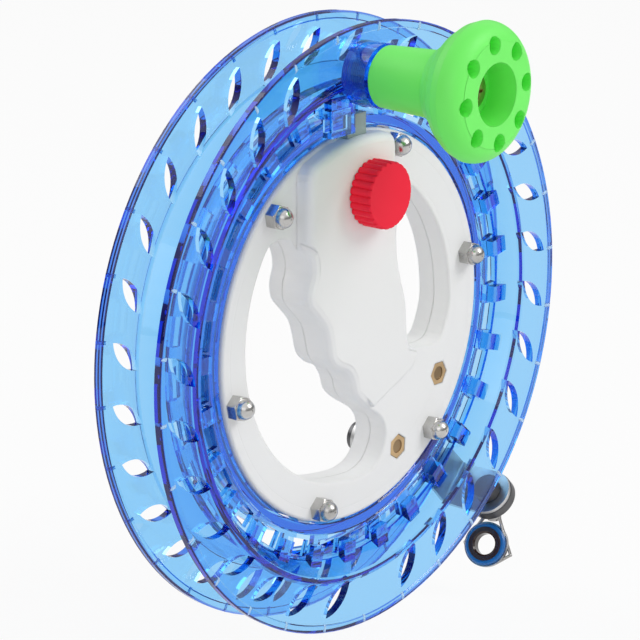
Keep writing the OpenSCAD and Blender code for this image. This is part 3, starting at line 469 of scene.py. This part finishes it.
def smooth_piece(name, bm, material, body, angle):
    """A piece of its own, smooth but for edges sharper than an angle."""
    me = bpy.data.meshes.new(name)
    bm.to_mesh(me)
    bm.free()
    for p in me.polygons:
        p.use_smooth = True
    me.set_sharp_from_angle(angle=math.radians(angle))
    return add_piece(name, me, material, body)


def cad_copy(*names):
    """A bmesh of CAD nodes that carries their exact corner normals along."""
    bm = bmesh.new()
    for n in names:
        me = nodes[n].data.copy()
        me.materials.clear()
        kept = me.attributes.new("cad_normal", "FLOAT_VECTOR", "CORNER")
        for c, v in zip(me.corner_normals, kept.data):
            v.vector = c.vector
        bm.from_mesh(me)
        bpy.data.meshes.remove(me)
    for f in bm.faces:
        f.material_index = 0
    return bm


def from_cad(name, bm):
    """A mesh from such a bmesh, with the corner normals that it carried."""
    me = bpy.data.meshes.new(name)
    bm.to_mesh(me)
    bm.free()
    kept = me.attributes["cad_normal"]
    normals = [tuple(v.vector) for v in kept.data]
    me.attributes.remove(kept)
    for p in me.polygons:
        p.use_smooth = True
    me.normals_split_custom_set(normals)
    return me


def clear_wheel(blue):
    """Both halves welded into one clear body, without the two faces that meet in it."""
    bm = cad_copy("wheel_front_half", "wheel_rear_half")
    bmesh.ops.remove_doubles(bm, verts=bm.verts[:], dist=WELD)
    seam = [f for f in bm.faces if all(abs(v.co.y) < WELD for v in f.verts)]
    bmesh.ops.delete(bm, geom=seam, context="FACES_ONLY")
    loose = [e for e in bm.edges if not e.link_faces]
    bmesh.ops.delete(bm, geom=loose, context="EDGES")
    wheel = add_piece("clear_wheel", from_cad("clear_wheel", bm), blue, "wheel")
    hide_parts("wheel_front_half", "wheel_rear_half")


def grip_shell(white):
    """The front shell, with the fold of its loft at the housing's upper corner closed up."""
    bm = cad_copy("hand_disc_front")
    bmesh.ops.remove_doubles(bm, verts=bm.verts[:], dist=WELD)
    for x, y, z, reach in FOLDED_CORNER:
        spot = Vector((x, y, z)) * MM
        near = [v for v in bm.verts if abs(v.co.y - spot.y) < RING_LEVEL * MM
                and (v.co - spot).length < reach * MM]
        bmesh.ops.pointmerge(bm, verts=near, merge_co=spot)
    flat = [f for f in bm.faces if f.calc_area() < FLAT_AREA]
    bmesh.ops.delete(bm, geom=flat, context="FACES_ONLY")
    shell = add_piece("grip_shell", from_cad("grip_shell", bm), white, "hand_unit")
    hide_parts("hand_disc_front")


def ring_sleeve(blue):
    """The ringed sleeve with a hair of air round it, so that its rings show in the boss."""
    lo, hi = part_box("crank_sleeve")
    cx, cz = (lo[0] + hi[0]) / 2, (lo[2] + hi[2]) / 2
    bm = cad_copy("crank_sleeve")
    for v in bm.verts:
        r = math.hypot(v.co.x - cx, v.co.z - cz)
        if r > SLEEVE_RING_R * MM:
            k = (r - SLEEVE_AIR * MM) / r
            v.co.x = cx + (v.co.x - cx) * k
            v.co.z = cz + (v.co.z - cz) * k
    sleeve = add_piece("ring_sleeve", from_cad("ring_sleeve", bm), blue, "wheel")
    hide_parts("crank_sleeve")


def rim_marks():
    """Low light ridges that cross both rim beads beside every slot, left by the mould."""
    ridge = frosted_ridge()
    bead_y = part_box("wheel_rear_half")[1][1] / MM
    bm = bmesh.new()
    for side, first in RIDGE_FIRST:
        for k in range(RIDGE_COUNT):
            a = math.radians(first + 360.0 / RIDGE_COUNT * k)
            out = Vector((math.cos(a), 0, math.sin(a)))
            across = Vector((-math.sin(a), 0, math.cos(a)))
            rows = []
            for r, h in RIDGE_ALONG:
                y = side * (bead_y + h)
                rows.append([bm.verts.new((out * r + across * w + Vector((0, y + side * d, 0)))
                                          * MM) for w, d in RIDGE_ACROSS])
            for p, q in zip(rows, rows[1:]):
                for i in range(len(p) - 1):
                    bm.faces.new((p[i], p[i + 1], q[i + 1], q[i]))
    bmesh.ops.recalc_face_normals(bm, faces=bm.faces[:])
    smooth_piece("rim_marks", bm, ridge, "wheel", 60.0)


camera()
studio()
materials()
